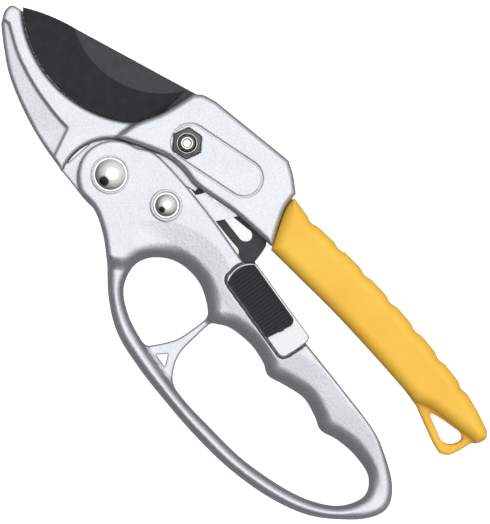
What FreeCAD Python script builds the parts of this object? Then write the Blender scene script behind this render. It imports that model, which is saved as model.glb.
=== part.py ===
import FreeCAD, Part
import Sketcher
import math
import os
import re

# Ratchet anvil pruning shears, 200 mm long, lying on their back face.
#
# The outlines are drawn in the plane of the tool: +X runs along it towards the
# jaw's tip, +Y towards the loop handle, and +Z out of its front face.  Z = 0 is
# the middle plane of the blade.  Every sub-part's Placement then moves it so that
# the origin is at the bottom centre of the whole tool.

SIZES = {
    # Where the drawing's origin goes
    "shift_x": 30.8, "shift_y": -19.4, "shift_z": 8.5,
    # Pivot centres: blade bolt, handle rivet, pawl rivet and ratchet pin
    "bolt_x": 0.1, "bolt_y": 0.5,
    "rivet_x": 8.45, "rivet_y": 24.8,
    "pawl_x": -10.15, "pawl_y": 18.0,
    "pin_x": -18.6, "pin_y": 4.4,
    # Half thicknesses, all measured from the middle plane
    "blade_half": 1.3, "blade_slot_half": 1.7,
    "pawl_inner": 1.5, "pawl_outer": 2.7, "pawl_slot_half": 3.1,
    "lug_half": 3.5, "head_slot_half": 3.8,
    "jaw_half": 4.8, "jaw_web_half": 3.9, "lip_face": 1.8, "lip_width": 1.6,
    "cheek_half": 7.0, "tang_half": 3.6,
    "handle_half": 6.8, "loop_half": 4.8, "strut_half": 1.6,
    "grip_half": 8.5, "tab_half": 3.0,
    "saddle_seat": 4.0, "saddle_inner": 4.1, "saddle_outer": 6.1,
    "button_inner": 6.3, "button_outer": 8.3, "button_groove": 0.45, "tongue_half": 1.4,
    # Blade
    "edge_half": 0.12, "anvil_gap": 0.4, "blade_bore": 8.1, "tail_slot_half": 1.8,
    # Blade bolt, M5
    "bolt_shank": 5.0, "bolt_bore": 5.1, "bolt_flats": 8.0, "bolt_head_seat": 5.1,
    "bolt_head_end": 8.4, "head_pocket": 9.8, "nut_seat": 5.0, "nut_end": 9.1,
    "bolt_end": 9.7, "nut_pocket": 8.6, "nut_turn": 14.0, "dimple": 3.4, "dimple_depth": 0.4,
    "bushing_outer": 8.0, "bushing_hole": 8.04, "bushing_half": 1.62,
    "washer_outer": 15.0, "washer_inner_face": 1.37, "washer_outer_face": 1.62,
    # Handle rivet and pawl rivet
    "rivet_shank": 6.0, "rivet_head": 10.4, "rivet_dome": 1.7, "rivet_bore": 6.12,
    "pawl_shank": 4.0, "pawl_head": 7.8, "pawl_dome": 1.5, "pawl_bore": 4.12,
    "rim_width": 0.4, "rim_depth": 0.35,
    "spacer_outer": 5.2, "spacer_half": 1.42,
    "thrust_outer": 14.0, "thrust_inner_face": 3.55, "thrust_outer_face": 3.76,
    "pin_diameter": 3.0,
    # Springs
    "spring_wire": 0.9, "spring_mean": 4.5, "spring_turns": 2.0, "spring_floor": 0.97,
    "spring_pocket": 12.4, "spring_pocket_floor": 0.4,
    "pawl_wire": 0.6, "pawl_mean": 3.15, "pawl_turns": 2.0, "pawl_floor": -0.65,
    # Thumb lock; its own frame starts at the saddle's right end
    "lock_x": -40.0, "lock_y": 14.8, "lock_tilt": -5.4, "lock_travel": 6.0,
    "stud_diameter": 2.4, "guide_width": 2.8, "saddle_wall": 1.2,
    # Edge rounding
    "cheek_round": 1.6, "jaw_round": 1.2, "handle_round": 1.8, "loop_round": 1.9,
    "grip_round": 1.6, "tab_round": 0.9, "button_round": 0.6,
    "engraving_depth": 0.3, "engraving_width": 0.5, "engraving_radius": 6.0,
    "engraving_run": 20.0, "engraving_tilt": 15.4,
    # Grip notches, button grooves and coil spacing
    "notch_first": -113.4, "notch_pitch": 11.65, "notch_width": 2.8, "notch_depth": 0.5,
    "groove_first": -21.0, "groove_pitch": 1.15, "groove_width": 0.45, "coil_spacing": 1.08,
}

doc = FreeCAD.newDocument("pruning_shears")
sheet = doc.addObject("Spreadsheet::Sheet", "Sizes")
for row, (alias, number) in enumerate(SIZES.items(), start=1):
    sheet.set(f"A{row}", alias)
    sheet.set(f"B{row}", str(number))
    sheet.setAlias(f"B{row}", alias)
doc.recompute()

BOLT = ("bolt_x", "bolt_y")
RIVET = ("rivet_x", "rivet_y")
PAWL = ("pawl_x", "pawl_y")
PIN = ("pin_x", "pin_y")
LOCK = ("lock_x", "lock_y")
subparts = []


# ---------------------------------------------------------------- drawing helpers

def cells(text):
    """Turn the names of sizes in an expression into references to the sheet."""
    return re.sub(r"[a-z]\w*", lambda word: f"Sizes.{word.group()}", text)


def place(item, label, centre=None, tilt=None, height="0"):
    """Name a sub-part and move it to its place in the tool's own frame."""
    item.Label = label
    centre_x, centre_y = centre or ("0", "0")
    if tilt:
        item.Placement.Rotation = FreeCAD.Rotation(FreeCAD.Vector(0, 0, 1), SIZES[tilt])
    item.setExpression("Placement.Base.x", cells(f"shift_x + {centre_x}"))
    item.setExpression("Placement.Base.y", cells(f"shift_y + {centre_y}"))
    item.setExpression("Placement.Base.z", cells(f"shift_z + {height}"))
    subparts.append(item)


def new_body(label, centre=None, tilt=None):
    body = doc.addObject("PartDesign::Body", label)
    place(body, label, centre, tilt)
    return body


def new_sketch(body, name, low, role="XY_Plane"):
    """A sketch on one of the body's origin planes, raised by an expression."""
    sketch = body.newObject("Sketcher::SketchObject", f"{body.Name}_{name}_sketch")
    planes = [plane for plane in body.Origin.OriginFeatures if plane.Role == role]
    sketch.AttachmentSupport = [(planes[0], "")]
    sketch.MapMode = "FlatFace"
    sketch.setExpression("AttachmentOffset.Base.z", cells(low))
    return sketch


def outline(start, *stretches):
    """Draw one closed outline made of line, arc and curve stretches.

    A stretch is its kind followed by its points; each begins where the last ended,
    and the last one ends at the start."""
    def draw(sketch):
        here = FreeCAD.Vector(*start)
        for kind, *points in stretches:
            ends = [FreeCAD.Vector(*point) for point in points]
            if kind == "line":
                for end in ends:
                    sketch.addGeometry(Part.LineSegment(here, end), False)
                    here = end
            elif kind == "arc":
                sketch.addGeometry(Part.Arc(here, *ends), False)
                here = ends[-1]
            else:
                curve = Part.BSplineCurve()
                curve.interpolate([here] + ends)
                sketch.addGeometry(curve, False)
                here = ends[-1]
    return draw


def circle(diameter, centre=None):
    """Draw a circle whose centre and diameter follow the sheet."""
    def draw(sketch):
        at = FreeCAD.Vector(*[SIZES[name] for name in centre]) if centre else FreeCAD.Vector()
        geometry = Part.Circle(at, FreeCAD.Vector(0, 0, 1), SIZES[diameter] / 2)
        index = sketch.addGeometry(geometry, False)
        row = sketch.addConstraint(Sketcher.Constraint("Diameter", index, SIZES[diameter]))
        sketch.setExpression(f"Constraints[{row}]", cells(diameter))
        if centre is None:
            sketch.addConstraint(Sketcher.Constraint("Coincident", index, 3, -1, 1))
            return
        for kind, name in zip(("DistanceX", "DistanceY"), centre):
            row = sketch.addConstraint(Sketcher.Constraint(kind, -1, 1, index, 3, SIZES[name]))
            sketch.setExpression(f"Constraints[{row}]", cells(name))
    return draw


def pad(body, name, low, high, *drawings):
    """Add material between two heights."""
    sketch = new_sketch(body, name, low)
    for draw in drawings:
        draw(sketch)
    feature = body.newObject("PartDesign::Pad", f"{body.Name}_{name}")
    feature.Profile = sketch
    feature.setExpression("Length", cells(f"( {high} ) - ( {low} )"))
    doc.recompute()
    return feature


def cut(body, name, low, high, *drawings):
    """Take material away between two heights."""
    sketch = new_sketch(body, name, low)
    for draw in drawings:
        draw(sketch)
    before = body.Shape.Volume
    feature = body.newObject("PartDesign::Pocket", f"{body.Name}_{name}")
    feature.Profile = sketch
    feature.Reversed = True
    feature.setExpression("Length", cells(f"( {high} ) - ( {low} )"))
    doc.recompute()
    if not body.Shape.Volume < before - 1e-3:
        raise RuntimeError(f"{body.Label}: {name} cuts nothing")
    return feature


def cut_both(body, name, low, high, *drawings):
    """Take the same material away from the front and the back."""
    cut(body, f"{name}_front", low, high, *drawings)
    cut(body, f"{name}_back", f"-( {high} )", f"-( {low} )", *drawings)


def round_faces(body, name, height, radius, inside=None):
    """Round the edges that lie in the two planes at plus and minus a height."""
    level = SIZES[height]
    names = []
    for number, edge in enumerate(body.Shape.Edges, start=1):
        # The body's own shape carries its Placement, so the heights are taken back
        box = edge.BoundBox
        low = box.ZMin - body.Placement.Base.z
        high = box.ZMax - body.Placement.Base.z
        flat = abs(high - low) < 1e-3 and abs(abs(low) - level) < 1e-3
        middle = body.Placement.inverse().multVec(edge.CenterOfMass)
        if flat and (inside is None or inside(middle)):
            names.append(f"Edge{number}")
    base = body.Tip
    feature = body.newObject("PartDesign::Fillet", f"{body.Name}_{name}")
    feature.Base = (base, names)
    feature.setExpression("Radius", cells(radius))
    doc.recompute()
    if feature.Shape.isNull() or not feature.Shape.isValid():
        raise RuntimeError(f"{body.Label}: {name} failed")
    return feature


def turned(label, centre, profile):
    """A part turned about its own Z axis from a half profile of radius and height."""
    body = new_body(label, centre)
    sketch = new_sketch(body, "profile", "0", "XZ_Plane")
    profile(sketch)
    feature = body.newObject("PartDesign::Revolution", f"{label}_turning")
    feature.Profile = sketch
    feature.ReferenceAxis = (sketch, ["V_Axis"])
    feature.Angle = 360
    doc.recompute()
    return body


def ring(label, centre, outer, bore, low, high):
    body = new_body(label, centre)
    pad(body, "ring", low, high, circle(outer), circle(bore))


def disc(diameter, x, y):
    """Draw a circle at a fixed point."""
    def draw(sketch):
        rim = Part.Circle(FreeCAD.Vector(x, y), FreeCAD.Vector(0, 0, 1), diameter / 2)
        sketch.addGeometry(rim, False)
    return draw


def polygon(points):
    """Draw a closed outline of straight lines."""
    return outline(points[0], ("line", *points[1:], points[0]))


def box(left, right, bottom, top):
    return polygon([(left, bottom), (right, bottom), (right, top), (left, top)])


def slot(left, right, middle, width):
    """Draw a slot with round ends, between the centres of its ends."""
    half = width / 2
    return outline(
        (left, middle - half),
        ("line", (right, middle - half)),
        ("arc", (right + half, middle), (right, middle + half)),
        ("line", (left, middle + half)),
        ("arc", (left - half, middle), (left, middle - half)))


# ---------------------------------------------------------------- frame casting

# The blade's cutting edge, from heel to tip, and the gap it leaves to the anvil
EDGE_ARC = ((14.6, 7.6), (40.0, 19.35), (66.0, 11.25))


def anvil_arc(clear):
    """Three points of an arc concentric with the cutting edge, outside it by a distance."""
    edge = Part.Arc(*[FreeCAD.Vector(*point) for point in EDGE_ARC]).toShape().Curve
    radius = edge.Radius + clear
    angles = [math.atan2(y - edge.Center.y, x - edge.Center.x) for x, y in EDGE_ARC]
    angles[0] += 0.01
    angles[2] -= 0.03
    return [(edge.Center.x + radius * math.cos(angle), edge.Center.y + radius * math.sin(angle))
            for angle in angles]


def frame_casting():
    """Cheeks, jaw, handle lug and tang, cast in one piece."""
    body = new_body("frame_casting")
    anvil = anvil_arc(SIZES["anvil_gap"])
    ledge = anvil_arc(-SIZES["lip_width"])
    root = anvil_arc(SIZES["lip_width"])
    pad(body, "cheeks", "-cheek_half", "cheek_half", outline(
        (15.6, 15.7),
        ("curve", (15.9, 14.6), (15.2, 8.3), (12.25, 0.0), (10.4, -10.8)),
        ("curve", (8.3, -13.1), (4.0, -14.8)),
        ("line", (-24.5, -19.8)),
        ("curve", (-29.0, -17.8), (-33.8, -14.7)),
        ("curve", (-34.9, -9.5), (-37.6, -4.5), (-41.4, 1.6)),
        ("curve", (-33.0, 2.6), (-25.0, 3.7), (-18.0, 5.5), (-11.0, 7.0), (-4.0, 6.9), (3.0, 8.7),
         (15.6, 15.7))))
    round_faces(body, "cheek_rounding", "cheek_half", "cheek_round")
    pad(body, "lug", "-lug_half", "lug_half", outline(
        (20.0, 35.5),
        ("curve", (14.0, 35.7), (8.0, 36.0), (3.0, 35.2), (-1.4, 31.5), (-2.6, 26.0), (-3.2, 20.0),
         (-5.0, 14.0), (-8.6, 10.4), (-12.9, 8.5)),
        ("line", (-12.4, 4.0), (12.0, 4.0), (13.0, 9.5), (20.0, 16.0), (20.0, 35.5))))
    pad(body, "jaw", "-jaw_half", "jaw_half", outline(
        (12.0, 8.7),
        ("line", anvil[0]),
        ("arc", anvil[1], anvil[2]),
        ("curve", (68.3, 13.4), (68.5, 16.2), (66.2, 19.8)),
        ("curve", (60.0, 24.0), (52.0, 28.5), (40.7, 32.3), (30.0, 34.5), (19.2, 35.5)),
        ("arc", (19.3, 21.0), (12.0, 13.8)),
        ("line", (12.0, 8.7))))
    round_faces(body, "jaw_rounding", "jaw_half", "jaw_round", lambda middle: middle.x > 25 and middle.y > 22)
    # A lip behind the closed blade, which stands just in front of it
    pad(body, "jaw_lip", "-jaw_half", "-lip_face", outline(
        ledge[0],
        ("arc", ledge[1], ledge[2]),
        ("line", root[2]),
        ("arc", root[1], root[0]),
        ("line", ledge[0])))
    cut_both(body, "jaw_web", "jaw_web_half", "jaw_half", outline(
        (21.6, 37.0),
        ("line", (28.0, 25.2)),
        ("curve", (35.0, 25.3), (45.0, 24.3), (55.0, 21.9), (64.6, 17.6)),
        ("line", (75.0, 20.0), (60.0, 37.0), (21.6, 37.0))))
    pad(body, "tang", "-tang_half", "tang_half", outline(
        (-30.0, 0.0),
        ("line", (-30.0, -13.0)),
        ("curve", (-60.0, -11.5), (-90.0, -12.3), (-112.0, -10.8)),
        ("arc", (-115.0, -8.0), (-112.0, -5.0)),
        ("curve", (-90.0, -3.3), (-60.0, -2.2), (-30.0, 0.0))))
    # The blade's slot is open to the front, to the bottom corner and to the handle side
    cut(body, "blade_slot", "-blade_slot_half", "blade_slot_half", outline(
        (15.2, 8.55),
        ("arc", (8.0, 8.45), (0.1, 10.2)),
        ("line", (-16.5, 21.0), (-55.0, 21.0), (-55.0, 1.4), (-40.5, 1.4), (-31.0, -2.2),
         (-14.0, -7.2)),
        ("arc", (-8.6, -10.6), (-5.5, -17.0)),
        ("line", (-5.5, -22.0), (22.0, -22.0), (22.0, 8.55), (15.2, 8.55))))
    # The pawl's plates swing in a wider slot
    cut(body, "pawl_slot", "-pawl_slot_half", "pawl_slot_half", outline(
        (-9.4, 12.0),
        ("line", (-9.4, 1.6)),
        ("arc", (-13.0, -2.6), (-19.0, -3.4)),
        ("line", (-28.0, -0.6), (-33.0, 4.5), (-33.0, 12.0), (-9.4, 12.0))))
    cut(body, "bolt_bore", "-cheek_half", "cheek_half", circle("bolt_bore", BOLT))
    cut(body, "nut_pocket", "nut_seat", "nut_end", hexagon("nut_pocket", "nut_turn", BOLT))
    cut(body, "head_pocket", "-bolt_head_end", "-bolt_head_seat", circle("head_pocket", BOLT))
    cut(body, "rivet_bore", "-lug_half", "lug_half", circle("rivet_bore", RIVET))
    cut(body, "spring_pocket", "spring_pocket_floor", "lug_half", circle("spring_pocket", RIVET))
    leg_x = SIZES["rivet_x"] + SIZES["spring_mean"]
    leg_y = SIZES["rivet_y"]
    cut(body, "spring_leg_slots", "spring_pocket_floor", "lug_half",
        box(leg_x - 1.0, leg_x + 1.0, leg_y + 1.0, leg_y + 7.6))
    cut(body, "spring_swing", "spring_pocket_floor", "lug_half",
        polygon([(leg_x, leg_y - 2.0), (leg_x - 3.0, leg_y - 7.6), (leg_x + 2.0, leg_y - 7.6)]))
    cut_both(body, "engraving", "cheek_half - engraving_depth", "cheek_half", engraving)
    return body


def engraving(sketch):
    """Draw the thin groove round the bolt: two nested slots, tilted like the cheek."""
    turn = FreeCAD.Rotation(FreeCAD.Vector(0, 0, 1), SIZES["engraving_tilt"])
    along = turn.multVec(FreeCAD.Vector(-1, 0))
    across = turn.multVec(FreeCAD.Vector(0, -1))
    start = FreeCAD.Vector(-0.3, -0.3)
    end = start + along * SIZES["engraving_run"]
    radius = SIZES["engraving_radius"]
    for reach in (radius, radius - SIZES["engraving_width"]):
        corners = [start - across * reach, end - across * reach, end + across * reach,
                   start + across * reach]
        far = end + along * reach
        near = start - along * reach
        sketch.addGeometry(Part.LineSegment(corners[0], corners[1]), False)
        sketch.addGeometry(Part.Arc(corners[1], far, corners[2]), False)
        sketch.addGeometry(Part.LineSegment(corners[2], corners[3]), False)
        sketch.addGeometry(Part.Arc(corners[3], near, corners[0]), False)


# ---------------------------------------------------------------- grip

NOTCH_COUNT = 7
GROOVE_COUNT = 18


def grip_underside(x):
    """Height of the grip's lower line, a shallow parabola lowest near its middle."""
    return -15.4 + (x + 86.0) ** 2 / 790.0


def notch(x):
    """One shallow scallop across the grip's underside."""
    level = grip_underside(x)
    half = SIZES["notch_width"] / 2
    return outline(
        (x - half, level - 2.0),
        ("line", (x + half, level - 2.0), (x + half, level - 0.2)),
        ("arc", (x, level + SIZES["notch_depth"]), (x - half, level - 0.2)),
        ("line", (x - half, level - 2.0)))


def grip_sleeve():
    """Moulded sleeve over the tang, with a hanging tab at its end."""
    body = new_body("grip_sleeve")
    underside = [(x, grip_underside(x)) for x in (-112.0, -98.0, -84.0, -70.0, -56.0, -43.0)]
    pad(body, "sleeve", "-grip_half", "grip_half", outline(
        (-41.9, 2.5),
        ("curve", (-55.0, 1.5), (-70.0, 0.4), (-88.0, -0.15), (-106.5, -0.3)),
        ("curve", (-112.0, -2.9), (-123.0, -5.3), (-129.0, -6.2)),
        ("curve", (-130.0, -9.3), (-128.3, -11.3)),
        ("curve", (-121.0, -13.2), *underside, (-34.4, -13.6)),
        ("curve", (-35.5, -9.0), (-38.2, -3.9), (-41.9, 2.5))))
    round_faces(body, "sleeve_rounding", "grip_half", "grip_round")
    places = [SIZES["notch_first"] + SIZES["notch_pitch"] * index for index in range(NOTCH_COUNT)]
    cut(body, "notches", "-grip_half", "grip_half", *[notch(x) for x in places])
    pad(body, "tab", "-tab_half", "tab_half", outline(
        (-104.0, -2.0),
        ("line", (-106.5, -0.3)),
        ("curve", (-114.0, 2.0), (-120.5, 3.9), (-124.0, 4.5)),
        ("curve", (-126.4, 2.6), (-127.6, -1.5), (-128.2, -5.2), (-129.3, -7.6)),
        ("line", (-126.0, -9.0), (-104.0, -2.0))))
    cut(body, "hanging_hole", "-tab_half", "tab_half", outline(
        (-112.9, -1.9),
        ("curve", (-113.6, -0.9), (-119.3, 0.9)),
        ("curve", (-121.4, 1.4), (-123.3, 0.8), (-124.6, -0.4), (-125.4, -2.8), (-124.6, -4.4),
         (-122.9, -4.8)),
        ("curve", (-116.5, -3.2), (-112.9, -1.9))))
    cut(body, "tang_socket", "-tang_half", "tang_half", outline(
        (-30.0, 0.0),
        ("line", (-30.0, -13.0)),
        ("curve", (-60.0, -11.5), (-90.0, -12.3), (-112.0, -10.8)),
        ("arc", (-115.0, -8.0), (-112.0, -5.0)),
        ("curve", (-90.0, -3.3), (-60.0, -2.2), (-30.0, 0.0))))
    return body


# ---------------------------------------------------------------- blade

# Where the ground bevel meets the blade's flat
FLAT_ARC = ((13.0, -10.2), (39.5, 5.7), (60.0, -4.0))

# The post on the tail's corner that the lock catches, in the lock's own frame
LOCK_POST = ((-1.2, -3.2), (-1.2, -1.0), (-4.2, -1.0), (-4.2, -4.6))


def blade():
    """Blade and its tail, with the slot that the pawl's pin works in."""
    body = new_body("blade")
    pad(body, "plate", "-blade_half", "blade_half", outline(
        EDGE_ARC[2],
        ("arc", EDGE_ARC[1], EDGE_ARC[0]),
        ("arc", (7.6, 7.3), (0.1, 8.8)),
        ("curve", (-13.0, 9.0), (-24.0, 9.7), (-34.0, 10.0)),
        ("curve", (-35.6, 10.4), (-36.3, 11.2)),
        ("line", (-38.5, 11.5), *[lock_point(*corner) for corner in LOCK_POST], (-41.3, 8.6)),
        ("curve", (-40.7, 5.5), (-39.9, 2.8)),
        ("curve", (-37.0, 0.6), (-30.0, -1.0), (-20.0, -3.2), (-10.0, -6.2)),
        ("curve", (-6.0, -9.2), (0.5, -12.0), (10.0, -11.75)),
        ("line", (50.0, 3.2)),
        ("curve", (57.5, 6.2), EDGE_ARC[2])))
    # The ground bevels meet at a thin flat edge
    for side in ("", "-"):
        bevel(body, side)
    cut(body, "bore", "-blade_half", "blade_half", circle("blade_bore", BOLT))
    cut(body, "ratchet_slot", "-blade_half", "blade_half", outline(
        (-35.3, 5.4),
        ("arc", (-34.4, 7.0), (-32.4, 7.5)),
        ("curve", (-26.0, 7.2), (-18.6, 6.9)),
        ("arc", (-16.1, 4.4), (-18.6, 1.9)),
        ("arc", (-20.8, 2.8), (-22.0, 4.2)),
        ("arc", (-23.6, 3.0), (-25.4, 3.4)),
        ("line", (-26.6, 4.7), (-32.2, 3.7)),
        ("arc", (-34.6, 4.0), (-35.3, 5.4))))
    return body


def bevel(body, side):
    """Grind one face from the flat's curved boundary down to the cutting edge."""
    name = "back_bevel" if side else "front_bevel"
    above = 12.0
    near = new_sketch(body, f"{name}_edge", f"{side}edge_half")
    outline(EDGE_ARC[2],
            ("arc", EDGE_ARC[1], EDGE_ARC[0]),
            ("line", (EDGE_ARC[0][0] - 3.0, above), (40.0, 30.0), (80.0, 8.0), EDGE_ARC[2]))(near)
    far = new_sketch(body, f"{name}_flat", f"{side}blade_half")
    outline(FLAT_ARC[2],
            ("arc", FLAT_ARC[1], FLAT_ARC[0]),
            ("line", (EDGE_ARC[0][0] - 3.0, above), (40.0, 30.0), (80.0, 8.0), FLAT_ARC[2]))(far)
    before = body.Shape.Volume
    feature = body.newObject("PartDesign::SubtractiveLoft", f"{body.Name}_{name}")
    feature.Profile = near
    feature.Sections = [far]
    feature.Ruled = True
    doc.recompute()
    if not body.Shape.Volume < before - 1.0:
        raise RuntimeError(f"{name} cuts nothing")


# ---------------------------------------------------------------- loop handle

def loop_handle():
    """The moving handle: clevis head, finger loops and the seat of the thumb lock."""
    body = new_body("loop_handle")
    pad(body, "loop", "-loop_half", "loop_half", outline(
        (10.0, 35.9),
        ("curve", (3.5, 35.8), (-3.5, 38.5), (-10.7, 43.1), (-20.0, 50.5), (-30.0, 55.6),
         (-42.0, 57.6), (-55.0, 58.3), (-70.0, 58.3), (-85.0, 57.0), (-100.0, 53.4), (-112.0, 47.8),
         (-121.0, 39.5), (-125.6, 32.6), (-126.0, 27.0), (-121.5, 21.8), (-112.5, 17.4),
         (-104.0, 15.1)),
        ("curve", (-88.0, 14.1), (-71.2, 13.4)),
        ("line", (-38.0, 11.4)),
        ("curve", (-17.5, 9.6), (2.5, 9.8), (10.0, 13.5)),
        ("arc", (18.6, 26.0), (10.0, 35.9))),
        window())
    round_faces(body, "loop_rounding", "loop_half", "loop_round")
    pad(body, "strut", "-strut_half", "strut_half", outline(
        (-45.0, 29.0),
        ("line", (-44.6, 36.0)),
        ("curve", (-43.6, 43.0), (-40.0, 50.0), (-37.0, 53.0)),
        ("line", (-57.0, 55.0)),
        ("curve", (-51.0, 51.0), (-47.6, 45.0), (-46.8, 36.0)),
        ("line", (-46.6, 29.0), (-45.0, 29.0))))
    cut(body, "strut_eye", "-strut_half", "strut_half", polygon(
        [(-42.6, 51.3), (-45.3, 47.7), (-48.1, 51.8)]))
    pad(body, "palm", "-handle_half", "handle_half", outline(
        (10.0, 35.9),
        ("curve", (3.5, 35.8), (-3.5, 38.5), (-10.0, 42.6)),
        ("curve", (-15.0, 38.0), (-16.5, 32.0), (-24.0, 25.5), (-33.0, 24.2), (-46.0, 27.6),
         (-58.0, 24.8), (-70.5, 26.4), (-84.0, 23.4), (-94.4, 25.2), (-106.0, 23.0), (-117.0, 23.4),
         (-119.6, 21.0)),
        ("curve", (-112.5, 17.4), (-104.0, 15.1)),
        ("curve", (-88.0, 14.1), (-71.2, 13.4)),
        ("line", (-38.0, 11.4)),
        ("curve", (-17.5, 9.6), (2.5, 9.8), (10.0, 13.5)),
        ("arc", (18.6, 26.0), (10.0, 35.9))))
    round_faces(body, "palm_rounding", "handle_half", "handle_round")
    cut(body, "head_slot", "-head_slot_half", "head_slot_half", polygon(
        [(30.0, 0.0), (30.0, 45.0), (-0.5, 45.0), (-3.0, 37.0), (-8.0, 31.0), (-14.0, 25.5),
         (-16.4, 20.0), (-17.5, 17.0), (-26.5, 8.5), (-29.0, 0.0)]))
    cut(body, "tail_slot", "-tail_slot_half", "tail_slot_half", polygon(
        [(-10.0, 5.0), (-10.0, 15.6), (-31.0, 15.6), lock_point(7.6, 1.4), lock_point(-24.2, 1.4),
         lock_point(-24.2, -9.0)]))
    cut(body, "rivet_bore", "-handle_half", "handle_half", circle("rivet_shank", RIVET))
    cut(body, "pawl_bore", "-handle_half", "handle_half", circle("pawl_shank", PAWL))
    cut_both(body, "saddle_seat", "saddle_seat", "handle_half", lock_outline(1.9, -31.4, -9.0, 5.3))
    cut(body, "lock_guide", "-handle_half", "handle_half", lock_guide(0.2))
    return body


def window():
    """Both finger loops in one opening, before the strut divides it."""
    return outline(
        (-45.7, 31.6),
        ("curve", (-48.0, 30.6), (-52.0, 28.0), (-60.0, 26.6), (-66.7, 27.4), (-70.8, 28.9),
         (-76.0, 27.1), (-83.3, 25.1), (-90.0, 26.3), (-94.4, 27.7), (-100.0, 25.8), (-107.2, 24.8),
         (-115.0, 25.9), (-118.9, 30.9), (-116.5, 38.2), (-110.0, 43.9), (-100.0, 48.4),
         (-85.0, 52.1), (-70.0, 53.3), (-60.0, 53.7), (-48.0, 52.9), (-36.0, 51.4), (-28.0, 49.4),
         (-21.0, 45.3), (-17.7, 39.0), (-18.5, 33.5), (-22.5, 28.8), (-28.0, 26.3), (-35.0, 26.1),
         (-41.0, 28.4)),
        ("line", (-45.7, 31.6)))


# ---------------------------------------------------------------- thumb lock

def lock_point(along, up):
    """A point of the lock's own frame, in the plane of the tool."""
    turn = FreeCAD.Rotation(FreeCAD.Vector(0, 0, 1), SIZES["lock_tilt"])
    corner = FreeCAD.Vector(SIZES["lock_x"], SIZES["lock_y"])
    point = corner + turn.multVec(FreeCAD.Vector(along, up))
    return (point.x, point.y)


def lock_outline(right, left, bottom, top):
    corners = [(right, bottom), (right, top), (left, top), (left, bottom)]
    return polygon([lock_point(*corner) for corner in corners])


STUDS = (-15.3, -9.3)
STUD_HEIGHT = -0.6


def guide_size(clearance):
    """Ends, middle and width of the slot that lets the studs travel."""
    left = STUDS[0] - SIZES["lock_travel"] - clearance
    right = STUDS[1] + clearance
    return left, right, STUD_HEIGHT, SIZES["guide_width"]


def lock_guide(clearance):
    left, right, middle, width = guide_size(clearance)
    return lock_outline(right + width / 2, left - width / 2, middle - width / 2, middle + width / 2)


def lock_saddle():
    """Bright channel pressed over the handle's inner edge; the button slides on it."""
    body = new_body("lock_saddle", LOCK, "lock_tilt")
    pad(body, "sides", "-saddle_outer", "saddle_outer", outline(
        (-30.6, -1.0),
        ("line", (-30.4, 2.6)),
        ("arc", (-29.7, 4.2), (-28.2, 4.8)),
        ("line", (-1.6, 4.8)),
        ("arc", (0.2, 3.8), (0.8, 1.8)),
        ("arc", (0.9, -2.4), (-1.7, -6.2)),
        ("line", (-28.6, -6.4)),
        ("arc", (-30.0, -5.8), (-30.5, -4.4)),
        ("line", (-30.6, -1.0))))
    top = 9.0
    floor = -6.4
    cut(body, "channel", "-saddle_inner", "saddle_inner", polygon(
        [(-34.0, floor + SIZES["saddle_wall"]), (2.0, floor + SIZES["saddle_wall"]), (2.0, top),
         (-34.0, top)]))
    cut(body, "tail_gap", "-saddle_inner", "saddle_inner", box(-9.5, 4.0, -9.0, 0.0))
    cut(body, "guide", "-saddle_outer", "saddle_outer", slot(*guide_size(0.2)))
    return body


def lock_button(side, low, high):
    """Black ribbed thumb pad, one on each face of the handle."""
    body = new_body(f"lock_button_{side}", LOCK, "lock_tilt")
    shape = outline(
        (-23.4, -3.4),
        ("line", (-22.2, 4.4), (-1.2, 4.4)),
        ("arc", (0.5, -0.8), (-1.6, -5.6)),
        ("line", (-21.6, -5.6)),
        ("arc", (-22.9, -4.9), (-23.4, -3.4)))
    pad(body, "cap", low, high, shape)
    round_faces(body, "cap_rounding", "button_outer", "button_round")
    starts = [SIZES["groove_first"] + SIZES["groove_pitch"] * index for index in range(GROOVE_COUNT)]
    grooves = [box(start, start + SIZES["groove_width"], -9.0, 9.0) for start in starts]
    depth = "button_outer - button_groove"
    ends = (depth, "button_outer") if side == "front" else ("-button_outer", f"-( {depth} )")
    cut(body, "ribs", *ends, *grooves)
    return body


def lock_tongue():
    """Steel tongue whose tooth moves in behind the post on the blade's tail."""
    body = new_body("lock_tongue", LOCK, "lock_tilt")
    pad(body, "plate", "-tongue_half", "tongue_half", outline(
        (-17.6, -3.2),
        ("line", (-7.2, -3.2), (-7.2, -0.6), (5.1, -0.6), (5.1, -2.4), (6.9, -2.4), (6.9, 0.9),
         (-17.6, 0.9), (-17.6, -3.2))))
    for index, along in enumerate(STUDS):
        cut(body, f"stud_hole_{index}", "-tongue_half", "tongue_half",
            disc(SIZES["stud_diameter"], along, STUD_HEIGHT))
    return body


def lock_studs():
    """Two studs through the guide slots, joining the tongue and both buttons."""
    studs = []
    for index, along in enumerate(STUDS):
        stud = doc.addObject("Part::Cylinder", f"lock_stud_{index}")
        stud.setExpression("Radius", cells("stud_diameter / 2"))
        stud.setExpression("Height", cells("button_inner * 2"))
        stud.setExpression("Placement.Base.z", cells("-button_inner"))
        stud.Placement.Base.x = along
        stud.Placement.Base.y = STUD_HEIGHT
        studs.append(stud)
    group = doc.addObject("Part::Compound", "lock_studs")
    group.Links = studs
    place(group, "lock_studs", LOCK, "lock_tilt")
    doc.recompute()


# ---------------------------------------------------------------- pawl

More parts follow.
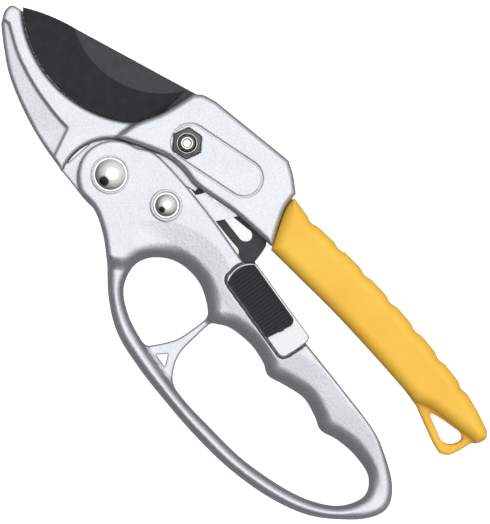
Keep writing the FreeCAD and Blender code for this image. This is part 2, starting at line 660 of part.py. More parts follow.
def pawl_plate(side, low, high):
    """One of the two bright plates that carry the ratchet pin."""
    body = new_body(f"pawl_plate_{side}")
    pad(body, "plate", low, high, outline(
        (-14.9, 18.0),
        ("curve", (-18.0, 14.6), (-23.7, 9.9)),
        ("curve", (-25.4, 6.8), (-27.2, 3.3)),
        ("curve", (-23.4, 2.0), (-19.2, 0.9)),
        ("arc", (-16.2, 1.9), (-15.1, 4.4)),
        ("curve", (-13.6, 9.0), (-10.3, 12.2), (-6.5, 15.2)),
        ("arc", (-5.9, 20.6), (-10.6, 22.7)),
        ("arc", (-13.8, 21.0), (-14.9, 18.0))))
    cut(body, "pivot_bore", low, high, circle("pawl_bore", PAWL))
    cut(body, "pin_bore", low, high, circle("pin_diameter", PIN))
    return body


def ratchet_pin():
    body = new_body("ratchet_pin", PIN)
    pad(body, "pin", "-pawl_outer", "pawl_outer", circle("pin_diameter"))
    return body


# ---------------------------------------------------------------- bolts and rivets

def pivot_bolt():
    """M5 bolt, its hexagonal head sunk in the back cheek."""
    body = new_body("pivot_bolt", BOLT)
    pad(body, "shank", "-bolt_head_seat", "bolt_end", circle("bolt_shank"))
    pad(body, "head", "-bolt_head_end", "-bolt_head_seat", hexagon("bolt_flats"))
    cut(body, "end_dimple", "bolt_end - dimple_depth", "bolt_end", circle("dimple"))


def hexagon(flats, turn=None, centre=None):
    """Draw a hexagon of a given width across its flats."""
    corner = SIZES[flats] / 3 ** 0.5
    middle = FreeCAD.Vector(*[SIZES[name] for name in centre]) if centre else FreeCAD.Vector()
    first = SIZES[turn] if turn else 0.0
    spin = [FreeCAD.Rotation(FreeCAD.Vector(0, 0, 1), first + 60 * index) for index in range(6)]
    points = [middle + rotation.multVec(FreeCAD.Vector(corner, 0)) for rotation in spin]
    return polygon([(point.x, point.y) for point in points])


def pivot_nut():
    body = new_body("pivot_nut", BOLT)
    pad(body, "nut", "nut_seat", "nut_end", hexagon("bolt_flats", "nut_turn"), circle("bolt_shank"))


def rivet(name, centre, shank, head, dome):
    """A round shank with a domed front head, and the domed cap closed over its back."""
    shank_radius = SIZES[shank] / 2
    head_radius = SIZES[head] / 2
    rim = SIZES["rim_depth"]
    inner = head_radius - SIZES["rim_width"]
    rise = SIZES[dome] - rim
    sphere = (inner ** 2 + rise ** 2) / (2 * rise)
    half_angle = math.asin(inner / sphere) / 2
    middle = sphere * math.sin(half_angle)
    middle_rise = rise - sphere * (1 - math.cos(half_angle))
    seat = SIZES["handle_half"]

    def dome_lines(side):
        level = seat * side
        ledge = level + rim * side
        return [("line", (head_radius, level), (head_radius, ledge), (inner, ledge)),
                ("arc", (middle, ledge + middle_rise * side), (0.0, ledge + rise * side))]

    turned(name, centre, outline(
        (0.0, -seat),
        ("line", (shank_radius, -seat), (shank_radius, seat)),
        *dome_lines(1),
        ("line", (0.0, -seat))))
    turned(f"{name}_cap", centre, outline((0.0, -seat), *dome_lines(-1), ("line", (0.0, -seat))))


# ---------------------------------------------------------------- springs

def torsion_spring(label, centre, wire, mean, turns, low, leg):
    """A close coil of round wire with one short straight leg at each end."""
    radius = SIZES[mean]
    thick = SIZES[wire]
    pitch = thick * SIZES["coil_spacing"]
    rise = pitch * SIZES[turns]
    # The legs leave the coil along its tangent at both ends
    start = FreeCAD.Vector(radius, 0, 0)
    finish = FreeCAD.Vector(radius, 0, rise)
    tail = Part.makeLine(start - FreeCAD.Vector(0, leg, 0), start)
    tip = Part.makeLine(finish, finish + FreeCAD.Vector(0, leg, 0))
    coil = Part.makeHelix(pitch, rise, radius)
    path = Part.Wire([tail, *coil.Edges, tip])
    section = Part.makeCircle(thick / 2, start - FreeCAD.Vector(0, leg, 0), FreeCAD.Vector(0, 1, 0))
    solid = path.makePipeShell([Part.Wire(section)], True, True)
    item = doc.addObject("Part::Feature", label)
    item.Shape = solid
    place(item, label, centre, None, low)


# ---------------------------------------------------------------- the whole tool

frame_casting()
grip_sleeve()
blade()
pivot_bolt()
pivot_nut()
ring("pivot_bushing", BOLT, "bushing_outer", "bolt_bore", "-bushing_half", "bushing_half")
ring("blade_washer_front", BOLT, "washer_outer", "bushing_hole", "washer_inner_face", "washer_outer_face")
ring("blade_washer_back", BOLT, "washer_outer", "bushing_hole", "-washer_outer_face", "-washer_inner_face")
loop_handle()
rivet("handle_rivet", RIVET, "rivet_shank", "rivet_head", "rivet_dome")
ring("thrust_washer_front", RIVET, "thrust_outer", "rivet_bore", "thrust_inner_face", "thrust_outer_face")
ring("thrust_washer_back", RIVET, "thrust_outer", "rivet_bore", "-thrust_outer_face", "-thrust_inner_face")
torsion_spring("return_spring", RIVET, "spring_wire", "spring_mean", "spring_turns", "spring_floor", 6.5)
pawl_plate("front", "pawl_inner", "pawl_outer")
pawl_plate("back", "-pawl_outer", "-pawl_inner")
ratchet_pin()
rivet("pawl_rivet", PAWL, "pawl_shank", "pawl_head", "pawl_dome")
ring("pawl_spacer", PAWL, "spacer_outer", "pawl_bore", "-spacer_half", "spacer_half")
torsion_spring("pawl_spring", PAWL, "pawl_wire", "pawl_mean", "pawl_turns", "pawl_floor", 1.5)
lock_saddle()
lock_button("front", "button_inner", "button_outer")
lock_button("back", "-button_outer", "-button_inner")
lock_tongue()
lock_studs()

doc.recompute()
broken = [item.Label for item in doc.Objects if {"Invalid", "Error"} & set(item.State)]
broken += [item.Label for item in subparts if item.Shape.isNull() or not item.Shape.isValid()]
if broken:
    raise RuntimeError(f"these failed: {broken}")
os.makedirs("parts", exist_ok=True)
for item in subparts:
    item.Shape.exportStep(f"parts/{item.Label}.step")
    print(item.Label, len(item.Shape.Solids), round(item.Shape.Volume, 1), item.Shape.BoundBox)
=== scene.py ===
import math

import bpy
import numpy as np
from mathutils import Matrix, Vector


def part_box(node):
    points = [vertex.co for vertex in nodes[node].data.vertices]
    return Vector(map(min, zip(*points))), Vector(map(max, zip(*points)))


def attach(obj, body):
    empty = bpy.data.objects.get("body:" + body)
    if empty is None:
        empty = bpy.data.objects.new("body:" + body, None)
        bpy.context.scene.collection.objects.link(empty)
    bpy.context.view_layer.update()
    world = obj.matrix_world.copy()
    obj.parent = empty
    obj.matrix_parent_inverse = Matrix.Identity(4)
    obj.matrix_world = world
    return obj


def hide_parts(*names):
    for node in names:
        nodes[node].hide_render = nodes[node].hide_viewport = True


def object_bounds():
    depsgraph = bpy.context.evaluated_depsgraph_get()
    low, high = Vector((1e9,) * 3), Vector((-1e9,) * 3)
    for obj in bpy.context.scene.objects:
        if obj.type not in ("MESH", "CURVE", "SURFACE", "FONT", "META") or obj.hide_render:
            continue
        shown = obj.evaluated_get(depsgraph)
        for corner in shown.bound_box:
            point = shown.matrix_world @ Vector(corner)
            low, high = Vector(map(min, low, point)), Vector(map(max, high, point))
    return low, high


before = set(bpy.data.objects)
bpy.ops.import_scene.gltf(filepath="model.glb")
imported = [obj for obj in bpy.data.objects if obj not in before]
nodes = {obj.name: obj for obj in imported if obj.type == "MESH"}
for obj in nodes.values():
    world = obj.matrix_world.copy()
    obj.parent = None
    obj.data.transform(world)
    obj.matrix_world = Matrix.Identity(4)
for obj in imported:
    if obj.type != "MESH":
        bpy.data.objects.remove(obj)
cad_low, cad_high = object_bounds()

# Outlines below are in millimetres, in the tool's drawing plane: the blade bolt's
# centre is at BOLT, +X runs towards the jaw's tip and +Y towards the loop handle.
MM = 0.001
BOLT = (0.1, 0.5)
RIVET = (8.45, 24.8)
PAWL = (-10.15, 18.0)
LOCK = (-40.0, 14.8)
LOCK_TILT = math.radians(-5.4)
LOCK_TRAVEL = 6.0
STUDS = (-15.3, -9.3)

# Half thicknesses and heights, counted from the tool's middle plane
LOOP_HALF = 4.8
HANDLE_HALF = 6.8
STRUT_HALF = 1.6
CHEEK_HALF = 7.0
LUG_HALF = 3.5
JAW_HALF = 4.8
LIP_TOP = -1.8
TANG_HALF = 3.55
GRIP_HALF = 8.5
TAB_HALF = 3.0
SADDLE_HALF = 6.1
BUTTON_FOOT = 6.3
BUTTON_TOP = 8.3

# Half heights of the cuts, and where the seat and the spring's pocket start
THROUGH = 9.0
HEAD_SLOT = 3.8
TAIL_SLOT = 1.8
BLADE_SLOT = 1.7
PAWL_SLOT = 3.1
SADDLE_SEAT = 4.0
SADDLE_CHANNEL = 4.1
GRIP_SOCKET = 3.6
SPRING_POCKET = 0.4

# Radii
HANDLE_RIVET_BORE = 3.02
PAWL_RIVET_BORE = 2.02
LUG_BORE = 3.06
BOLT_BORE = 2.55
BOLT_RADIUS = 2.46
HEAD_POCKET_RADIUS = 4.9
SPRING_POCKET_RADIUS = 6.2

# Nut, bolt and their pockets
HEXAGON_FLATS = 8.0
POCKET_FLATS = 8.6
FASTENER_REACH = 4.7
NUT_SEAT = 5.0
NUT_TOP = 9.1
NUT_TURN = math.radians(14)
NUT_BORE = 2.5
BOLT_END = 9.7
BOLT_HEAD_SEAT = -5.1
BOLT_HEAD_END = -8.4
THREAD_PITCH = 0.8
THREAD_DEPTH = 0.12

# Engraved line on the front cheek: a slot shape's start, direction, run and radius
ENGRAVING = ((-0.3, -0.3), (-0.964, -0.265), 20.0, 5.75)
ENGRAVING_HALF_WIDTH = 0.28
ENGRAVING_FLOOR = 6.75

RIM_HEIGHT = 0.24
RIB_PITCH = 1.15
RIB_DEPTH = 0.42
SCALLOPS = 7
SCALLOP_PITCH = 11.65
SCALLOP_RADIUS = 3.0

STEP = 0.3
OFF_GRID = 0.002    # keeps flat faces between the grid's own planes

bushing_low, bushing_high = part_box("pivot_bushing")
bolt_centre = (bushing_low + bushing_high) / 2
SHIFT = Vector((bolt_centre.x / MM - BOLT[0], bolt_centre.y / MM - BOLT[1], bolt_centre.z / MM))


# ---------------------------------------------------------------- outlines

def smooth_run(points, per_span=10):
    """Points along a smooth curve through a list of points."""
    points = np.array(points, float)
    ends = [2 * points[0] - points[1], 2 * points[-1] - points[-2]]
    padded = np.vstack([ends[0], points, ends[1]])
    run = []
    for index in range(len(points) - 1):
        before, start, stop, after = padded[index:index + 4]
        for t in np.arange(per_span) / per_span:
            run.append(0.5 * (2 * start + (stop - before) * t
                              + (2 * before - 5 * start + 4 * stop - after) * t ** 2
                              + (3 * start - before - 3 * stop + after) * t ** 3))
    return run + [points[-1]]


def arc_run(start, middle, end, count=24):
    """Points along the circle arc through three points."""
    (ax, ay), (bx, by), (cx, cy) = start, middle, end
    d = 2 * (ax * (by - cy) + bx * (cy - ay) + cx * (ay - by))
    sa, sb, sc = ax * ax + ay * ay, bx * bx + by * by, cx * cx + cy * cy
    ux = (sa * (by - cy) + sb * (cy - ay) + sc * (ay - by)) / d
    uy = (sa * (cx - bx) + sb * (ax - cx) + sc * (bx - ax)) / d
    radius = math.hypot(ax - ux, ay - uy)
    first, mid, last = (math.atan2(y - uy, x - ux) for x, y in (start, middle, end))
    turn = (last - first) % (2 * math.pi)
    if (mid - first) % (2 * math.pi) > turn:
        turn -= 2 * math.pi
    angles = first + turn * np.arange(count + 1) / count
    return [(ux + radius * math.cos(a), uy + radius * math.sin(a)) for a in angles]


def outline(start, *stretches):
    """A closed outline of line, curve and arc stretches, each from the last one's end."""
    loop = [start]
    for kind, *points in stretches:
        if kind == "line":
            loop += points
        elif kind == "arc":
            loop += arc_run(loop[-1], *points)[1:]
        else:
            loop += smooth_run([loop[-1]] + points)[1:]
    return np.array(loop, float)


# ---------------------------------------------------------------- rounded solids from distances

class Block:
    """A grid of points round a box, in millimetres, and the fields drawn on it."""

    def __init__(self, low, high, step=STEP):
        self.step = step
        self.low = np.array(low, float) - 2 * step
        counts = np.ceil((np.array(high, float) + 2 * step - self.low) / step).astype(int) + 1
        self.x, self.y, self.z = (self.low[i] + step * np.arange(counts[i]) for i in range(3))
        self.flat_x, self.flat_y = np.meshgrid(self.x, self.y, indexing="ij")
        self.up = np.abs(self.z)[None, None, :]

    def distance(self, loop):
        """Signed distance to a closed outline in the plane, positive inside it."""
        px, py = self.flat_x, self.flat_y
        nearest = np.full(px.shape, 1e9)
        inside = np.zeros(px.shape, bool)
        for (ax, ay), (bx, by) in zip(loop, np.roll(loop, -1, axis=0)):
            ex, ey = bx - ax, by - ay
            squared = ex * ex + ey * ey
            if squared == 0:
                continue
            t = np.clip(((px - ax) * ex + (py - ay) * ey) / squared, 0, 1)
            nearest = np.minimum(nearest, (px - ax - t * ex) ** 2 + (py - ay - t * ey) ** 2)
            if ey != 0:
                crosses = ((ay > py) != (by > py)) & (px < ax + (py - ay) * ex / ey)
                inside ^= crosses
        return np.where(inside, 1, -1) * np.sqrt(nearest)

    def hexagon(self, centre, flats, turn):
        """Distance to a hexagon of a given width across its flats, positive inside."""
        dx, dy = self.flat_x - centre[0], self.flat_y - centre[1]
        sides = [turn + math.radians(30 + 60 * index) for index in range(3)]
        reach = np.max([np.abs(dx * math.cos(a) + dy * math.sin(a)) for a in sides], 0)
        return flats / 2 - reach

    def circle(self, centre, radius):
        """Distance to a circle, positive inside."""
        return radius - np.hypot(self.flat_x - centre[0], self.flat_y - centre[1])

    def stadium(self, start, along, run, radius):
        """Distance to a slot shape's round-ended line, positive inside."""
        dx, dy = self.flat_x - start[0], self.flat_y - start[1]
        t = np.clip(dx * along[0] + dy * along[1], 0, run)
        return radius - np.hypot(dx - t * along[0], dy - t * along[1])

    def plate(self, inward, half, round_in=1.0, round_up=1.0):
        """A plate whose edge is rounded over round_in across and round_up in height."""
        inward = inward[:, :, None]
        half = half[:, :, None] if isinstance(half, np.ndarray) else half
        across = np.maximum(0, round_in - inward) / round_in
        above = np.maximum(0, self.up - (half - round_up)) / round_up
        return (np.hypot(across, above) - 1) * min(round_in, round_up)

    def relief(self, inward, height):
        """A shape with an outline and its own height, up and down, at each point."""
        return np.maximum(self.up - height[:, :, None], -inward[:, :, None])

    def slot(self, inward, half):
        """The field of a straight cut, negative inside it."""
        return np.maximum(-inward[:, :, None], self.up - half)


def join(first, second, blend=0.6):
    """Smooth union of two fields."""
    mix = np.clip(0.5 + 0.5 * (second - first) / blend, 0, 1)
    return second * (1 - mix) + first * mix - blend * mix * (1 - mix)


def carve(solid, tool, blend=0.25):
    """Take a tool's field away from a solid, leaving slightly soft edges."""
    return -join(-solid, tool, blend)


def drop(inward, reach, depth):
    """How far a surface falls towards an edge that is rounded over reach, by depth."""
    share = np.clip((reach - inward) / reach, 0, 1)
    return depth * (1 - np.sqrt(1 - share ** 2))


def smoothstep(value):
    """A soft step from 0 to 1."""
    value = np.clip(value, 0, 1)
    return value * value * (3 - 2 * value)


def along(axis, first, last, rest=slice(None)):
    """An index that takes first to last along one axis, and rest along the other two."""
    index = [rest] * 3
    index[axis] = slice(first, last)
    return tuple(index)


def surface_points(field, block):
    """One vertex in each cell that the zero surface crosses, and each cell's vertex number."""
    inside = field < 0
    cells = np.array(field.shape) - 1
    total = np.zeros((*cells, 3), np.float32)
    hits = np.zeros(cells, np.float32)
    for axis in range(3):
        lower, upper = along(axis, 0, -1), along(axis, 1, None)
        start, end = field[lower], field[upper]
        crossed = inside[lower] != inside[upper]
        share = np.where(crossed, start / np.where(crossed, start - end, 1), 0)
        others = [other for other in range(3) if other != axis]
        for first in (0, 1):
            for second in (0, 1):
                pick = [slice(None)] * 3
                pick[others[0]] = slice(first, first + cells[others[0]])
                pick[others[1]] = slice(second, second + cells[others[1]])
                seen = crossed[tuple(pick)]
                hits += seen
                total[..., axis] += share[tuple(pick)] * seen
                total[..., others[0]] += first * seen
                total[..., others[1]] += second * seen
    used = hits > 0
    number = np.full(cells, -1, np.int64)
    number[used] = np.arange(used.sum())
    corner = np.argwhere(used)
    points = block.low + (corner + total[used] / hits[used][:, None]) * block.step
    return points, number


def surface_faces(inside, number):
    """One quad round each grid edge that the surface crosses, facing outwards."""
    faces = []
    for axis in range(3):
        first, second = [(1, 2), (2, 0), (0, 1)][axis]
        start = inside[along(axis, 0, -1, slice(1, -1))]
        end = inside[along(axis, 1, None, slice(1, -1))]
        for flip, edges in ((False, start & ~end), (True, ~start & end)):
            at = np.argwhere(edges)
            at[:, first] += 1
            at[:, second] += 1
            quad = []
            for back_first, back_second in ((1, 1), (0, 1), (0, 0), (1, 0)):
                cell = at.copy()
                cell[:, first] -= back_first
                cell[:, second] -= back_second
                quad.append(number[cell[:, 0], cell[:, 1], cell[:, 2]])
            quad = np.stack(quad, axis=1)
            faces.append(quad[:, ::-1] if flip else quad)
    return np.vstack(faces)


def skin(name, block, field, body, slot_name, material, *replaced):
    """Make the piece whose surface is where a field is zero, solid where it is negative."""
    field = field + OFF_GRID
    points, number = surface_points(field, block)
    faces = surface_faces(field < 0, number)
    mesh = bpy.data.meshes.new(name)
    places = (points + np.array(SHIFT)) * MM
    mesh.vertices.add(len(places))
    mesh.vertices.foreach_set("co", places.astype(np.float32).ravel())
    mesh.loops.add(faces.size)
    mesh.loops.foreach_set("vertex_index", faces.astype(np.int32).ravel())
    mesh.polygons.add(len(faces))
    mesh.polygons.foreach_set("loop_start", np.arange(0, faces.size, 4, dtype=np.int32))
    mesh.update(calc_edges=True)
    mesh.validate()
    mesh.shade_smooth()
    piece = bpy.data.objects.new(name, mesh)
    bpy.context.scene.collection.objects.link(piece)
    mesh.materials.append(material)
    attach(piece, body)
    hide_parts(*replaced)
    return piece


# ---------------------------------------------------------------- materials

def new_material(name, color, metallic, roughness, **sockets):
    """A Principled material, with its constant values set on the shader's own sockets."""
    material = bpy.data.materials.new(name)
    material.use_nodes = True
    tree = material.node_tree
    shader = tree.nodes["Principled BSDF"]
    shader.inputs["Base Color"].default_value = (*color, 1)
    shader.inputs["Metallic"].default_value = metallic
    shader.inputs["Roughness"].default_value = roughness
    for socket, value in sockets.items():
        shader.inputs[socket.replace("_", " ")].default_value = value
    return material, tree, shader


def link(tree, output, target):
    """Link one node's output to another's input."""
    tree.links.new(output, target)


def noise(tree, scale, detail=4.0, stretch=(1, 1, 1), roughness=0.5):
    """Noise in the object's own millimetres."""
    place = tree.nodes.new("ShaderNodeTexCoord")
    mapping = tree.nodes.new("ShaderNodeMapping")
    mapping.inputs["Scale"].default_value = [scale / MM * share for share in stretch]
    texture = tree.nodes.new("ShaderNodeTexNoise")
    texture.inputs["Scale"].default_value = 1.0
    texture.inputs["Detail"].default_value = detail
    texture.inputs["Roughness"].default_value = roughness
    link(tree, place.outputs["Object"], mapping.inputs["Vector"])
    link(tree, mapping.outputs["Vector"], texture.inputs["Vector"])
    return texture.outputs["Fac"]


def ramp(tree, source, stops):
    """Map a value to a colour or a number through a ramp of (place, value) stops."""
    node = tree.nodes.new("ShaderNodeValToRGB")
    elements = node.color_ramp.elements
    while len(elements) < len(stops):
        elements.new(0.5)
    for element, (place, value) in zip(elements, stops):
        element.position = place
        element.color = (*value, 1) if isinstance(value, tuple) else (value, value, value, 1)
    link(tree, source, node.inputs["Fac"])
    return node.outputs["Color"]


def mix(tree, factor, first, second, kind="MIX"):
    """Mix two colours, each a colour or a socket, by a number or a socket."""
    node = tree.nodes.new("ShaderNodeMix")
    node.data_type = "RGBA"
    node.blend_type = kind
    for socket, value in ((0, factor), (6, first), (7, second)):
        if isinstance(value, bpy.types.NodeSocket):
            link(tree, value, node.inputs[socket])
        else:
            node.inputs[socket].default_value = value if socket == 0 else (*value, 1)
    return node.outputs[2]


def bump(tree, shader, height, strength, distance):
    """Add a bump on top of whatever bump the shader already has."""
    node = tree.nodes.new("ShaderNodeBump")
    node.inputs["Strength"].default_value = strength
    node.inputs["Distance"].default_value = distance
    link(tree, height, node.inputs["Height"])
    if shader.inputs["Normal"].links:
        link(tree, shader.inputs["Normal"].links[0].from_socket, node.inputs["Normal"])
    link(tree, node.outputs["Normal"], shader.inputs["Normal"])


def edges(tree, radius=0.0002):
    """How much a point lies on a convex edge or rib crest, from 0 to 1, for a painted highlight.
    """
    bevel = tree.nodes.new("ShaderNodeBevel")
    bevel.samples = 4
    bevel.inputs["Radius"].default_value = radius
    geometry = tree.nodes.new("ShaderNodeNewGeometry")
    dot = tree.nodes.new("ShaderNodeVectorMath")
    dot.operation = "DOT_PRODUCT"
    link(tree, bevel.outputs["Normal"], dot.inputs[0])
    link(tree, geometry.outputs["Normal"], dot.inputs[1])
    return ramp(tree, dot.outputs["Value"], [(0.80, 1.0), (0.97, 0.0)])


def cast_silver():
    """Satin silver paint on a die casting: fine sparkle grain and slight orange peel."""
    material, tree, shader = new_material("cast_silver", (0.6, 0.61, 0.64), 0.78, 0.36)
    grain = noise(tree, 2.6, 3.0, roughness=0.65)
    cloud = noise(tree, 0.10, 2.0)
    tone = ramp(tree, grain, [(0.32, (0.425, 0.44, 0.465)), (0.68, (0.63, 0.645, 0.67))])
    base = mix(tree, 0.22, tone, ramp(tree, cloud, [(0.3, 0.62), (0.7, 0.90)]), "MULTIPLY")
    link(tree, base, shader.inputs["Base Color"])
    link(tree, ramp(tree, grain, [(0.3, 0.30), (0.7, 0.44)]), shader.inputs["Roughness"])
    bump(tree, shader, grain, 0.55, 0.00006)
    bump(tree, shader, noise(tree, 1.2, 2.0), 0.45, 0.00010)
    return material


def yellow_rubber():
    """Soft matte moulded grip with a fine texture and faint rubbed patches."""
    material, tree, shader = new_material("yellow_rubber", (0.95, 0.56, 0.09), 0.0, 0.55,
                                          Specular_IOR_Level=0.35)
    cloud = noise(tree, 0.07, 3.0)
    base = ramp(tree, cloud, [(0.3, (0.97, 0.54, 0.055)), (0.7, (1.0, 0.61, 0.080))])
    link(tree, base, shader.inputs["Base Color"])
    link(tree, ramp(tree, noise(tree, 0.5, 4.0), [(0.3, 0.48), (0.7, 0.62)]),
         shader.inputs["Roughness"])
    bump(tree, shader, noise(tree, 3.5, 3.0), 0.3, 0.00004)
    bump(tree, shader, noise(tree, 0.25, 2.0), 0.25, 0.00020)
    return material


def coated_steel():
    """Charcoal non-stick coating, with a painted sheen: the flat beside the spine is painted
    lighter than the bevel, as if it caught more light.
    """
    material, tree, shader = new_material("coated_steel", (0.02, 0.02, 0.023), 0.0, 0.40,
                                          Specular_IOR_Level=0.22)
    place = tree.nodes.new("ShaderNodeTexCoord")
    parts = tree.nodes.new("ShaderNodeSeparateXYZ")
    link(tree, place.outputs["Object"], parts.inputs["Vector"])
    offset = tree.nodes.new("ShaderNodeMath")
    offset.operation = "SUBTRACT"
    offset.inputs[1].default_value = bolt_centre.z
    link(tree, parts.outputs["Z"], offset.inputs[0])
    size = tree.nodes.new("ShaderNodeMath")
    size.operation = "ABSOLUTE"
    link(tree, offset.outputs["Value"], size.inputs[0])
    scaled = tree.nodes.new("ShaderNodeMath")
    scaled.operation = "MULTIPLY"
    blade_low, blade_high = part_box("blade")
    scaled.inputs[1].default_value = 2 / (blade_high.z - blade_low.z)
    link(tree, size.outputs["Value"], scaled.inputs[0])
    # Painted sheen and shade: faces at the blade's full thickness get the lighter colour and the
    # bevel the darker one, standing in for how each catches the light.
    flat = ramp(tree, scaled.outputs["Value"], [(0.975, 0.0), (0.995, 1.0)])
    speck = noise(tree, 2.2, 5.0, roughness=0.7)
    dark = ramp(tree, speck, [(0.3, (0.008, 0.008, 0.010)), (0.75, (0.017, 0.017, 0.021))])
    light = ramp(tree, speck, [(0.3, (0.034, 0.035, 0.038)), (0.75, (0.055, 0.056, 0.061))])
    link(tree, mix(tree, flat, dark, light), shader.inputs["Base Color"])
    link(tree, ramp(tree, noise(tree, 0.4, 3.0), [(0.3, 0.34), (0.7, 0.50)]),
         shader.inputs["Roughness"])
    bump(tree, shader, speck, 0.25, 0.00003)
    bump(tree, shader, noise(tree, 1.0, 2.0, (0.15, 3.0, 1)), 0.12, 0.00003)
    return material


def metal(name, color, roughness, scale, stretch=(1, 1, 1), strength=0.12):
    """Bare or plated metal with fine marks along one direction."""
    material, tree, shader = new_material(name, color, 1.0, roughness)
    marks = noise(tree, scale, 4.0, stretch)
    darker = tuple(channel * 0.86 for channel in color)
    link(tree, ramp(tree, marks, [(0.25, darker), (0.75, color)]), shader.inputs["Base Color"])
    link(tree, ramp(tree, marks, [(0.3, roughness * 0.75), (0.7, roughness * 1.3)]),
         shader.inputs["Roughness"])
    bump(tree, shader, marks, strength, 0.00002)
    return material


def black_plastic():
    """Moulded black thumb pad, with a painted highlight along its rib crests and edges."""
    material, tree, shader = new_material("black_plastic", (0.02, 0.02, 0.024), 0.0, 0.42,
                                          Specular_IOR_Level=0.3)
    fine = noise(tree, 4.0, 3.0)
    base = ramp(tree, fine, [(0.3, (0.016, 0.016, 0.020)), (0.7, (0.030, 0.030, 0.036))])
    # Painted highlight: the convex rib crests and edges get a lighter grey, standing in for the
    # light they catch.
    rib_crest_highlight = mix(tree, edges(tree), base, (0.07, 0.07, 0.075))
    link(tree, rib_crest_highlight, shader.inputs["Base Color"])
    link(tree, ramp(tree, fine, [(0.3, 0.34), (0.7, 0.5)]), shader.inputs["Roughness"])
    bump(tree, shader, fine, 0.3, 0.00003)
    return material


def nylon():
    """Off-white nylon of the thin washers."""
    material, tree, shader = new_material("nylon", (0.80, 0.79, 0.74), 0.0, 0.5)
    fine = noise(tree, 1.5, 3.0)
    link(tree, ramp(tree, fine, [(0.3, (0.74, 0.73, 0.68)), (0.7, (0.84, 0.83, 0.79))]),
         shader.inputs["Base Color"])
    bump(tree, shader, fine, 0.2, 0.00003)
    return material


SILVER = cast_silver()
YELLOW = yellow_rubber()
COATED = coated_steel()
BLACK = black_plastic()
CHROME = metal("polished_chrome", (0.60, 0.60, 0.585), 0.10, 0.35, strength=0.04)
PLATED = metal("plated_steel", (0.50, 0.50, 0.49), 0.20, 1.2)
BRIGHT = metal("bright_steel", (0.48, 0.483, 0.49), 0.34, 2.4, (0.6, 1.2, 1), 0.35)
PLAIN = metal("plain_steel", (0.62, 0.62, 0.64), 0.30, 1.8)
SPRING = metal("spring_steel", (0.42, 0.42, 0.44), 0.28, 2.5)
NYLON = nylon()

FINISHES = {
    "frame_casting": SILVER, "loop_handle": SILVER, "grip_sleeve": YELLOW, "blade": COATED,
    "pivot_bolt": PLATED, "pivot_nut": PLATED, "pivot_bushing": PLAIN, "pawl_spacer": PLAIN,
    "ratchet_pin": PLAIN, "lock_tongue": PLAIN, "lock_studs": PLAIN, "handle_rivet": CHROME,
    "handle_rivet_cap": CHROME, "pawl_rivet": CHROME, "pawl_rivet_cap": CHROME,
    "return_spring": SPRING, "pawl_spring": SPRING, "pawl_plate_front": BRIGHT,
    "pawl_plate_back": BRIGHT, "lock_saddle": BRIGHT, "lock_button_front": BLACK,
    "lock_button_back": BLACK,
}
for node_name, node in nodes.items():
    node.data.materials.clear()
    node.data.materials.append(FINISHES.get(node_name, NYLON))


# ---------------------------------------------------------------- loop handle

def lock_box(right, left, bottom, top):
    """A rectangle in the thumb lock's own tilted frame."""
    c, s = math.cos(LOCK_TILT), math.sin(LOCK_TILT)
    corners = [(right, bottom), (right, top), (left, top), (left, bottom)]
    return np.array([(LOCK[0] + c * a - s * u, LOCK[1] + s * a + c * u) for a, u in corners])


def in_lock_frame(loop):
    """Turn an outline of the thumb lock's own tilted frame into the tool's plane."""
    c, s = math.cos(LOCK_TILT), math.sin(LOCK_TILT)
    return loop @ np.array([[c, s], [-s, c]]) + np.array(LOCK)


SADDLE_OUTLINE = in_lock_frame(outline(
    (-30.6, -1.0),
    ("line", (-30.4, 2.6)),
    ("arc", (-29.7, 4.2), (-28.2, 4.8)),
    ("line", (-1.6, 4.8)),
    ("arc", (0.2, 3.8), (0.8, 1.8)),
    ("arc", (0.9, -2.4), (-1.7, -6.2)),
    ("line", (-28.6, -6.4)),
    ("arc", (-30.0, -5.8), (-30.5, -4.4))))
BUTTON_OUTLINE = in_lock_frame(outline(
    (-23.4, -3.4),
    ("line", (-22.2, 4.4), (-1.2, 4.4)),
    ("arc", (0.5, -0.8), (-1.6, -5.6)),
    ("line", (-21.6, -5.6)),
    ("arc", (-22.9, -4.9), (-23.4, -3.4))))


def handle_outline():
    """The handle's outer line, from the head round the loops and back along the palm."""
    return outline(
        (10.0, 35.9),
        ("curve", (3.5, 35.8), (-3.5, 38.5), (-10.7, 43.1), (-20.0, 50.5), (-30.0, 55.6),
         (-42.0, 57.6), (-55.0, 58.3), (-70.0, 58.3), (-85.0, 57.0), (-100.0, 53.4),
         (-112.0, 47.8), (-121.0, 39.5), (-125.6, 32.6), (-126.0, 27.0), (-121.5, 21.8),
         (-112.5, 17.4), (-104.0, 15.1), (-88.0, 14.1), (-71.2, 13.4)),
        ("line", (-38.0, 11.4)),
        ("curve", (-17.5, 9.6), (2.5, 9.8), (10.0, 13.5)),
        ("arc", (18.6, 26.0), (10.0, 35.9)))


def window_outline():
    """The line round both finger openings, before the strut divides them."""
    return outline(
        (-45.7, 31.6),
        ("curve", (-48.0, 30.6), (-52.0, 28.0), (-60.0, 26.6), (-66.7, 27.4), (-70.8, 28.9),
         (-76.0, 27.1), (-83.3, 25.1), (-90.0, 26.3), (-94.4, 27.7), (-100.0, 25.8),
         (-107.2, 24.8), (-115.0, 25.9), (-118.9, 30.9), (-116.5, 38.2), (-110.0, 43.9),
         (-100.0, 48.4), (-85.0, 52.1), (-70.0, 53.3), (-60.0, 53.7), (-48.0, 52.9),
         (-36.0, 51.4), (-28.0, 49.4), (-21.0, 45.3), (-17.7, 39.0), (-18.5, 33.5),
         (-22.5, 28.8), (-28.0, 26.3), (-35.0, 26.1), (-41.0, 28.4), (-45.7, 31.6)))


